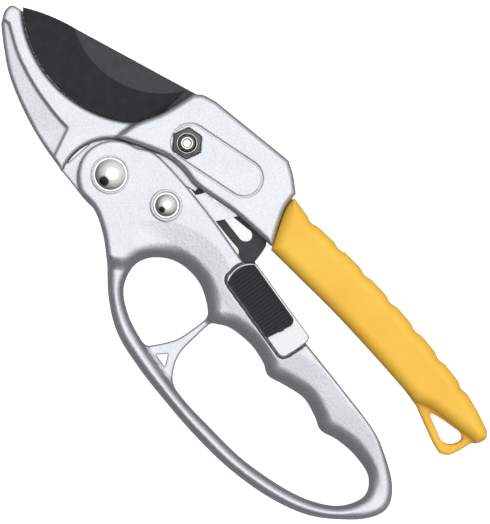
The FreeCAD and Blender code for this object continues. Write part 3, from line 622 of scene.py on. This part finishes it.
def palm_outline():
    """The line across which the tubular loops swell into the palm and the head."""
    return outline(
        (-7.0, 60.0),
        ("line", (-9.0, 42.6)),
        ("curve", (-14.6, 38.0), (-16.2, 32.0), (-23.8, 25.2), (-33.0, 23.9), (-46.0, 27.3),
         (-58.0, 24.5), (-70.5, 26.1), (-84.0, 23.1), (-94.4, 24.9), (-106.0, 22.6),
         (-114.5, 22.6), (-121.5, 25.5), (-124.5, 31.0), (-125.5, 38.0)),
        ("line", (-140.0, 50.0), (-140.0, -10.0), (40.0, -10.0), (40.0, 60.0)))


def handle_height(block, outer, window):
    """The handle's half thickness at each point, rounded off towards both of its edges."""
    palm = block.distance(palm_outline())
    swell = smoothstep((palm + 4.0) / 4.5) * smoothstep((block.flat_x + 130.0) / 28.0)
    head = smoothstep((block.flat_y - 24.0) / 10.0)
    crown = 0.10 * np.clip(9.0 - palm, 0, 11) * swell * (1 - head)
    height = (LOOP_HALF + (HANDLE_HALF - LOOP_HALF) * swell - crown
              - drop(-window, 2.6 + 2.4 * swell, 3.2 + 1.6 * swell)
              - drop(outer, 2.7 - (1.7 - 1.0 * head) * swell, 3.2 - (2.2 - 0.8 * head) * swell))
    for centre, inner, width in ((RIVET, 5.35, 0.35), (PAWL, 4.05, 0.7)):
        ring = -block.circle(centre, inner)
        height += RIM_HEIGHT * smoothstep(ring / 0.3) * (1 - smoothstep((ring - width) / 0.3))
    return height


def handle_strut(block):
    """The forked strut between the two finger openings, with its small eye."""
    strut = block.plate(block.distance(outline(
        (-45.0, 29.0),
        ("line", (-44.6, 36.0)),
        ("curve", (-43.6, 43.0), (-40.0, 50.0), (-37.0, 54.0)),
        ("line", (-57.0, 56.0)),
        ("curve", (-51.0, 51.0), (-47.6, 45.0), (-46.8, 36.0)),
        ("line", (-46.6, 29.0)))), STRUT_HALF, 0.7, 0.7)
    eye = block.distance(outline((-42.9, 51.0), ("line", (-45.3, 48.1), (-47.8, 51.5))))
    return carve(strut, block.slot(eye, THROUGH))


def cut_handle(block, handle):
    """Cut the head's clevis slot, the blade tail's slot, the thumb lock's seat and the bores."""
    head_slot = block.distance(outline(
        (30.0, 0.0),
        ("line", (30.0, 45.0), (-0.5, 45.0), (-3.0, 37.0), (-8.0, 31.0), (-14.0, 25.5),
         (-16.4, 20.0), (-17.5, 17.0), (-26.5, 8.5), (-29.0, 0.0))))
    handle = carve(handle, block.slot(head_slot, HEAD_SLOT))
    lock_end = lock_box(7.6, -24.2, -9.0, 1.4)
    tail_slot = block.distance(outline(
        (-10.0, 5.0),
        ("line", (-10.0, 15.6), (-31.0, 15.6), lock_end[1], lock_end[2], lock_end[3])))
    handle = carve(handle, block.slot(tail_slot, TAIL_SLOT))
    seat = block.distance(SADDLE_OUTLINE)[:, :, None] + 0.5
    handle = carve(handle, np.maximum(-seat, SADDLE_SEAT - block.up), 0.1)
    guide = block.distance(lock_box(-7.7, -16.9 - LOCK_TRAVEL, -2.0, 0.8))
    handle = carve(handle, block.slot(guide, THROUGH))
    for centre, radius in ((RIVET, HANDLE_RIVET_BORE), (PAWL, PAWL_RIVET_BORE)):
        handle = carve(handle, block.slot(block.circle(centre, radius), THROUGH))
    return handle


def loop_handle():
    """The moving handle: tubular finger loops that swell into the thick palm and head."""
    block = Block((-127.5, 8.0, -7.2), (19.5, 59.5, 7.2))
    outer = block.distance(handle_outline())
    window = block.distance(window_outline())
    height = handle_height(block, outer, window)
    handle = block.relief(np.minimum(outer, -window), height)
    handle = join(handle, handle_strut(block), 1.6)
    handle = cut_handle(block, handle)
    skin("loop_handle_casting", block, handle, "handle", "cast_aluminium", SILVER, "loop_handle")


# ---------------------------------------------------------------- frame casting

TANG_OUTLINE = outline(
    (-30.0, 0.0),
    ("line", (-30.0, -13.0)),
    ("curve", (-60.0, -11.5), (-90.0, -12.3), (-112.0, -10.8)),
    ("arc", (-115.0, -8.0), (-112.0, -5.0)),
    ("curve", (-90.0, -3.3), (-60.0, -2.2), (-30.0, 0.0)))


def frame_cheeks(block):
    """The thick middle of the casting, whose two cheeks hold the blade."""
    return block.plate(block.distance(outline(
        (15.6, 15.7),
        ("curve", (15.9, 14.6), (15.2, 8.3), (12.25, 0.0), (10.4, -10.8)),
        ("curve", (8.3, -13.1), (4.0, -14.8)),
        ("line", (-24.5, -19.8)),
        ("curve", (-29.0, -17.8), (-33.8, -14.7)),
        ("curve", (-34.9, -9.5), (-37.6, -4.5), (-41.4, 1.6)),
        ("curve", (-33.0, 2.6), (-25.0, 3.7), (-18.0, 5.5), (-11.0, 7.0), (-4.0, 6.9),
         (3.0, 8.7), (15.6, 15.7)))), CHEEK_HALF, 1.8, 1.6)


def frame_lug(block):
    """The lug between the handle's two ears."""
    return block.plate(block.distance(outline(
        (20.0, 35.5),
        ("curve", (14.0, 35.7), (8.0, 36.0), (3.0, 35.2), (-1.4, 31.5), (-2.6, 26.0),
         (-3.2, 20.0), (-5.0, 14.0), (-8.6, 10.4), (-12.9, 8.5)),
        ("line", (-12.4, 4.0), (12.0, 4.0), (13.0, 9.5), (20.0, 16.0)))), LUG_HALF, 0.4, 0.4)


def frame_jaw(block):
    """The anvil jaw: a rim round a recessed web, and a lip behind the closed blade's edge."""
    inward = block.distance(outline(
        (12.0, 8.7),
        ("line", (15.0, 8.0)),
        ("arc", (40.0, 19.75), (65.4, 12.2)),
        ("curve", (68.3, 13.4), (68.5, 16.2), (66.2, 19.8)),
        ("curve", (60.0, 24.0), (52.0, 28.5), (40.7, 32.3), (30.0, 34.5), (19.2, 35.5)),
        ("arc", (19.3, 21.0), (12.0, 13.8))))
    web = block.distance(outline(
        (21.6, 40.0),
        ("line", (28.0, 25.2)),
        ("curve", (35.0, 25.3), (45.0, 24.3), (55.0, 21.9), (64.6, 17.6)),
        ("line", (75.0, 20.0), (60.0, 40.0))))
    recess = 0.5 * smoothstep((web + 0.3) / 1.0) + 0.07 * np.clip(web, 0, 9)
    jaw = block.relief(inward, JAW_HALF - recess - drop(inward, 1.3, 1.1))
    lip = block.distance(outline(
        (15.6, 6.3),
        ("arc", (39.6, 17.75), (64.6, 10.3)),
        ("line", (66.0, 13.4)),
        ("arc", (40.4, 20.95), (14.2, 9.4)),
        ("line", (15.6, 6.3))))[:, :, None]
    height = block.z[None, None, :]
    lip = np.maximum(np.maximum(-lip, height - LIP_TOP), -JAW_HALF - height)
    return np.minimum(jaw, lip)


def cut_frame(block, casting):
    """Cut the slots of the blade and pawl, the bores and pockets, and the engraved line."""
    height = block.z[None, None, :]
    blade_slot = block.distance(outline(
        (15.2, 8.55),
        ("arc", (8.0, 8.45), (0.1, 10.2)),
        ("line", (-16.5, 21.0), (-55.0, 21.0), (-55.0, 1.4), (-40.5, 1.4), (-31.0, -2.2),
         (-14.0, -7.2)),
        ("arc", (-8.6, -10.6), (-5.5, -17.0)),
        ("line", (-5.5, -22.0), (22.0, -22.0), (22.0, 8.55))))
    casting = carve(casting, block.slot(blade_slot, BLADE_SLOT))
    pawl_slot = block.distance(outline(
        (-9.4, 12.0),
        ("line", (-9.4, 1.6)),
        ("arc", (-13.0, -2.6), (-19.0, -3.4)),
        ("line", (-28.0, -0.6), (-33.0, 4.5), (-33.0, 12.0))))
    casting = carve(casting, block.slot(pawl_slot, PAWL_SLOT))
    casting = carve(casting, block.slot(block.circle(BOLT, BOLT_BORE), THROUGH))
    nut_pocket = block.hexagon(BOLT, POCKET_FLATS, NUT_TURN)[:, :, None]
    casting = carve(casting, np.maximum(-nut_pocket, NUT_SEAT - height), 0.1)
    head_pocket = block.circle(BOLT, HEAD_POCKET_RADIUS)[:, :, None]
    casting = carve(casting, np.maximum(-head_pocket, height - BOLT_HEAD_SEAT))
    casting = carve(casting, block.slot(block.circle(RIVET, LUG_BORE), THROUGH))
    spring_pocket = block.circle(RIVET, SPRING_POCKET_RADIUS)[:, :, None]
    casting = carve(casting, np.maximum(-spring_pocket, SPRING_POCKET - height))
    line = np.abs(block.stadium(*ENGRAVING))[:, :, None]
    groove = np.maximum(line - ENGRAVING_HALF_WIDTH, ENGRAVING_FLOOR - block.up)
    return carve(casting, groove, 0.1)


def frame_casting():
    """Cheeks, jaw with its recessed web, the lug that the handle turns on, and the tang."""
    block = Block((-116.0, -20.5, -7.2), (69.5, 36.5, 7.2))
    casting = join(frame_cheeks(block), frame_jaw(block), 1.2)
    casting = join(casting, frame_lug(block), 0.6)
    tang = block.plate(block.distance(TANG_OUTLINE), TANG_HALF, 0.3, 0.3)
    casting = join(casting, tang, 0.3)
    casting = cut_frame(block, casting)
    skin("frame_casting_piece", block, casting, "frame", "cast_aluminium", SILVER,
         "frame_casting")


# ---------------------------------------------------------------- nut and bolt

def fastener_block(low_z, high_z, step):
    """A fine grid round the blade's bolt, and the height and radius of its points."""
    block = Block((BOLT[0] - FASTENER_REACH, BOLT[1] - FASTENER_REACH, low_z),
                  (BOLT[0] + FASTENER_REACH, BOLT[1] + FASTENER_REACH, high_z), step)
    return block, block.z[None, None, :], -block.circle(BOLT, 0.0)[:, :, None]


def pivot_nut():
    """M5 nut with a heavily chamfered top and a countersunk bore."""
    block, height, reach = fastener_block(NUT_SEAT, NUT_TOP, 0.1)
    top = height - NUT_TOP + 1.1 * np.maximum(0, reach - 3.15)
    foot = NUT_SEAT - height
    sides = -block.hexagon(BOLT, HEXAGON_FLATS, NUT_TURN)[:, :, None]
    bore = NUT_BORE + 0.55 * np.maximum(0, height - NUT_TOP + 0.8) - reach
    nut = np.maximum(np.maximum(np.maximum(top, foot), sides), bore)
    skin("pivot_nut_m5", block, nut, "frame", "plated_steel", PLATED, "pivot_nut")


def pivot_bolt():
    """M5 bolt: sunk hexagon head, threaded shank and a chamfered, dimpled end."""
    block, height, reach = fastener_block(BOLT_HEAD_END, BOLT_END, 0.12)
    sides = -block.hexagon(BOLT, HEXAGON_FLATS, 0.0)[:, :, None]
    head = np.maximum(sides, height - BOLT_HEAD_SEAT)
    head = np.maximum(head, BOLT_HEAD_END - height + 0.6 * np.maximum(0, reach - 3.7))
    ridge = np.abs(((height / THREAD_PITCH) % 1.0) * 2 - 1)
    thread = THREAD_DEPTH * ridge * (height > NUT_SEAT)
    taper = np.maximum(0, height - BOLT_END + 0.55)
    shank = np.maximum(reach - BOLT_RADIUS + thread + 0.8 * taper, height - BOLT_END)
    shank = np.maximum(shank, -6.0 - height)
    dimple = np.maximum(reach - 1.3, BOLT_END - 0.3 - height)
    bolt = carve(np.minimum(head, shank), dimple, 0.2)
    skin("pivot_bolt_m5", block, bolt, "frame", "plated_steel", PLATED, "pivot_bolt")


# ---------------------------------------------------------------- thumb lock

def lock_block(low_z, high_z, step):
    """A fine grid round the thumb lock."""
    low, high = SADDLE_OUTLINE.min(0), SADDLE_OUTLINE.max(0)
    return Block((*low, low_z), (*high, high_z), step)


def lock_saddle():
    """Bright channel pressed over the handle's inner edge, with softly broken edges."""
    block = lock_block(-SADDLE_HALF, SADDLE_HALF, 0.25)
    saddle = block.plate(block.distance(SADDLE_OUTLINE), SADDLE_HALF, 0.4, 0.4)
    channel = in_lock_frame(np.array([(-34.0, -5.2), (2.0, -5.2), (2.0, 9.0), (-34.0, 9.0)]))
    gap = in_lock_frame(np.array([(-9.5, -9.0), (4.0, -9.0), (4.0, 0.0), (-9.5, 0.0)]))
    for opening in (channel, gap):
        saddle = carve(saddle, block.slot(block.distance(opening), SADDLE_CHANNEL), 0.15)
    left, right = STUDS[0] - LOCK_TRAVEL - 0.2, STUDS[1] + 0.2
    guide = block.stadium(in_lock_frame(np.array([left, -0.6])),
                          (math.cos(LOCK_TILT), math.sin(LOCK_TILT)), right - left, 1.4)
    saddle = carve(saddle, block.slot(guide, THROUGH), 0.1)
    skin("lock_saddle_channel", block, saddle, "handle", "bright_steel", BRIGHT, "lock_saddle")


def lock_buttons():
    """Black thumb pads with rounded ribs across them, one on each face."""
    block = lock_block(BUTTON_FOOT, BUTTON_TOP, 0.15)
    inward = block.distance(BUTTON_OUTLINE)
    dx, dy = block.flat_x - LOCK[0], block.flat_y - LOCK[1]
    reach = dx * math.cos(LOCK_TILT) + dy * math.sin(LOCK_TILT)
    ribs = 0.5 - 0.5 * np.cos(2 * math.pi * (reach + 21.0) / RIB_PITCH)
    ribs = RIB_DEPTH * ribs ** 0.5 * smoothstep((inward - 0.2) / 0.6)
    height = BUTTON_TOP - ribs - drop(inward, 0.7, 0.7)
    z = block.z[None, None, :]
    pad = np.maximum(np.maximum(z - height[:, :, None], BUTTON_FOOT - z), -inward[:, :, None])
    front = skin("lock_button_front_pad", block, pad, "lock", "black_plastic", BLACK,
                 "lock_button_front")
    back = front.data.copy()
    back.transform(Matrix.Translation((0, 0, SHIFT.z * MM))
                   @ Matrix.Diagonal((1, 1, -1, 1)) @ Matrix.Translation((0, 0, -SHIFT.z * MM)))
    back.flip_normals()
    piece = bpy.data.objects.new("lock_button_back_pad", back)
    bpy.context.scene.collection.objects.link(piece)
    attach(piece, "lock")
    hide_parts("lock_button_back")


# ---------------------------------------------------------------- grip

def underside_height(x):
    """Height of the grip's lower line, a shallow parabola lowest near its middle."""
    return -15.4 + (x + 86.0) ** 2 / 790.0


def hanging_tab(block):
    """The flat tab at the grip's end, with its hanging hole."""
    hole = block.distance(outline(
        (-112.9, -1.9),
        ("curve", (-113.6, -0.9), (-119.3, 0.9)),
        ("curve", (-121.4, 1.4), (-123.3, 0.8), (-124.6, -0.4), (-125.4, -2.8),
         (-124.6, -4.4), (-122.9, -4.8)),
        ("curve", (-116.5, -3.2), (-112.9, -1.9))))
    tab = block.distance(outline(
        (-100.0, -2.0),
        ("line", (-106.5, -0.3)),
        ("curve", (-114.0, 2.0), (-120.5, 3.9), (-124.0, 4.5)),
        ("curve", (-126.4, 2.6), (-127.6, -1.5), (-128.2, -5.2), (-129.3, -7.6)),
        ("line", (-126.0, -10.0), (-100.0, -6.0))))
    return block.plate(np.minimum(tab, -hole), TAB_HALF, 1.1, 1.1)


def grip_sleeve():
    """The moulded sleeve with scalloped underside, flowing into its hanging tab."""
    block = Block((-130.0, -16.8, -GRIP_HALF), (-33.5, 5.4, GRIP_HALF))
    underside = [(x, underside_height(x)) for x in (-112.0, -98.0, -84.0, -70.0, -56.0, -43.0)]
    inward = block.distance(outline(
        (-41.9, 2.5),
        ("curve", (-55.0, 1.5), (-70.0, 0.4), (-88.0, -0.15), (-106.5, -0.3)),
        ("curve", (-112.0, -2.9), (-123.0, -5.3), (-129.0, -6.2)),
        ("curve", (-130.0, -9.3), (-128.3, -11.3)),
        ("curve", (-121.0, -13.2), *underside, (-34.4, -13.6)),
        ("curve", (-35.5, -9.0), (-38.2, -3.9), (-41.9, 2.5))))
    for index in range(SCALLOPS):
        x = -113.4 + SCALLOP_PITCH * index
        scallop = block.circle((x, underside_height(x) - 2.4), SCALLOP_RADIUS)
        inward = join(inward, -scallop, 0.8)
    sleeve = block.plate(inward, GRIP_HALF, 3.8, 4.2)
    grip = join(sleeve, hanging_tab(block), 1.8)
    socket = block.distance(TANG_OUTLINE)
    grip = carve(grip, block.slot(socket, GRIP_SOCKET), 0.1)
    skin("grip_moulding", block, grip, "frame", "yellow_grip", YELLOW, "grip_sleeve")


loop_handle()
frame_casting()
pivot_nut()
pivot_bolt()
lock_saddle()
lock_buttons()
grip_sleeve()


# ---------------------------------------------------------------- light, floor and camera

# The camera looks straight down on the tool, which lies turned by this angle in its view
TURN = math.radians(49)
VIEW_RIGHT = Vector((-math.cos(TURN), -math.sin(TURN), 0))
VIEW_UP = Vector((math.sin(TURN), -math.cos(TURN), 0))
AIM = Vector((-0.0086, -0.0083, 0.0155))
VIEW_HEIGHT = 0.1624
CAMERA_DISTANCE = 1.2
SENSOR = 36.0
FLOOR_GAP = 0.0003
FLOOR_GLOW = 0.8
FLOOR_REACH = 4


def add_camera():
    """A long lens straight above the tool."""
    data = bpy.data.cameras.new("camera")
    data.type = "PERSP"
    data.sensor_width = SENSOR
    data.lens = SENSOR * CAMERA_DISTANCE / VIEW_HEIGHT
    data.clip_start = 0.01
    data.clip_end = 20.0
    camera = bpy.data.objects.new("camera", data)
    back = Vector((0, 0, 1))
    turned = Matrix((VIEW_RIGHT, VIEW_UP, back)).transposed().to_4x4()
    camera.matrix_world = Matrix.Translation(AIM + back * CAMERA_DISTANCE) @ turned
    bpy.context.scene.collection.objects.link(camera)
    bpy.context.scene.camera = camera


def add_light(name, direction, distance, size, power):
    """A round softbox, seen from the object in the given direction."""
    data = bpy.data.lights.new(name, "AREA")
    data.shape = "DISK"
    data.size = size
    data.energy = power
    light = bpy.data.objects.new(name, data)
    direction = direction.normalized()
    light.matrix_world = (Matrix.Translation(AIM + direction * distance)
                          @ direction.to_track_quat("Z", "Y").to_matrix().to_4x4())
    bpy.context.scene.collection.objects.link(light)


def add_world():
    """A grey room, dark near the horizon, so that rounded metal edges have something to show."""
    world = bpy.data.worlds.new("studio")
    world.use_nodes = True
    tree = world.node_tree
    place = tree.nodes.new("ShaderNodeTexCoord")
    dot = tree.nodes.new("ShaderNodeVectorMath")
    dot.operation = "DOT_PRODUCT"
    key_side = Vector((0, 0, 1)) + (VIEW_UP + VIEW_RIGHT) * 0.2
    dot.inputs[1].default_value = key_side.normalized()
    link(tree, place.outputs["Generated"], dot.inputs[0])
    shade = ramp(tree, dot.outputs["Value"], [(0.0, 0.08), (0.42, 0.30), (0.72, 1.0), (0.9, 1.4)])
    lobe = tree.nodes.new("ShaderNodeVectorMath")
    lobe.operation = "DOT_PRODUCT"
    dark_side = Vector((0, 0, 1)) - VIEW_UP * 0.5 - VIEW_RIGHT * 0.55
    lobe.inputs[1].default_value = dark_side.normalized()
    link(tree, place.outputs["Generated"], lobe.inputs[0])
    spot = ramp(tree, lobe.outputs["Value"], [(0.93, 1.0), (0.96, 0.05)])
    room = mix(tree, 1.0, shade, spot, "MULTIPLY")
    link(tree, room, tree.nodes["Background"].inputs["Color"])
    bpy.context.scene.world = world


def add_floor():
    """A white table that throws only a little light back up at the tool's edges."""
    mesh = bpy.data.meshes.new("floor")
    signs = [(-1, -1), (1, -1), (1, 1), (-1, 1)]
    corners = [(x * FLOOR_REACH, y * FLOOR_REACH, 0) for x, y in signs]
    mesh.from_pydata(corners, [], [(0, 1, 2, 3)])
    material, tree, shader = new_material("floor_white", (0.9, 0.9, 0.9), 0.0, 0.9)
    shader.inputs["Emission Color"].default_value = (1, 1, 1, 1)
    shader.inputs["Emission Strength"].default_value = FLOOR_GLOW
    link(tree, ramp(tree, noise(tree, 0.01, 2.0), [(0.3, 0.89), (0.7, 0.91)]),
         shader.inputs["Base Color"])
    dim = tree.nodes.new("ShaderNodeBsdfDiffuse")
    dim.inputs["Color"].default_value = (0.32, 0.32, 0.33, 1)
    ray = tree.nodes.new("ShaderNodeLightPath")
    both = tree.nodes.new("ShaderNodeMixShader")
    link(tree, ray.outputs["Is Camera Ray"], both.inputs[0])
    link(tree, dim.outputs[0], both.inputs[1])
    link(tree, shader.outputs[0], both.inputs[2])
    # Seen from below, the table isn't there
    clear = tree.nodes.new("ShaderNodeBsdfTransparent")
    side = tree.nodes.new("ShaderNodeNewGeometry")
    sides = tree.nodes.new("ShaderNodeMixShader")
    link(tree, side.outputs["Backfacing"], sides.inputs[0])
    link(tree, both.outputs[0], sides.inputs[1])
    link(tree, clear.outputs[0], sides.inputs[2])
    link(tree, sides.outputs[0], tree.nodes["Material Output"].inputs["Surface"])
    mesh.materials.append(material)
    floor = bpy.data.objects.new("floor", mesh)
    floor.location.z = cad_low.z - FLOOR_GAP
    bpy.context.scene.collection.objects.link(floor)


add_camera()
add_world()
add_floor()
add_light("softbox_top", Vector((0, 0, 1)) + (VIEW_UP + VIEW_RIGHT) * 0.08, 1.7, 1.5, 5.6)
bpy.context.scene.view_settings.view_transform = "Standard"
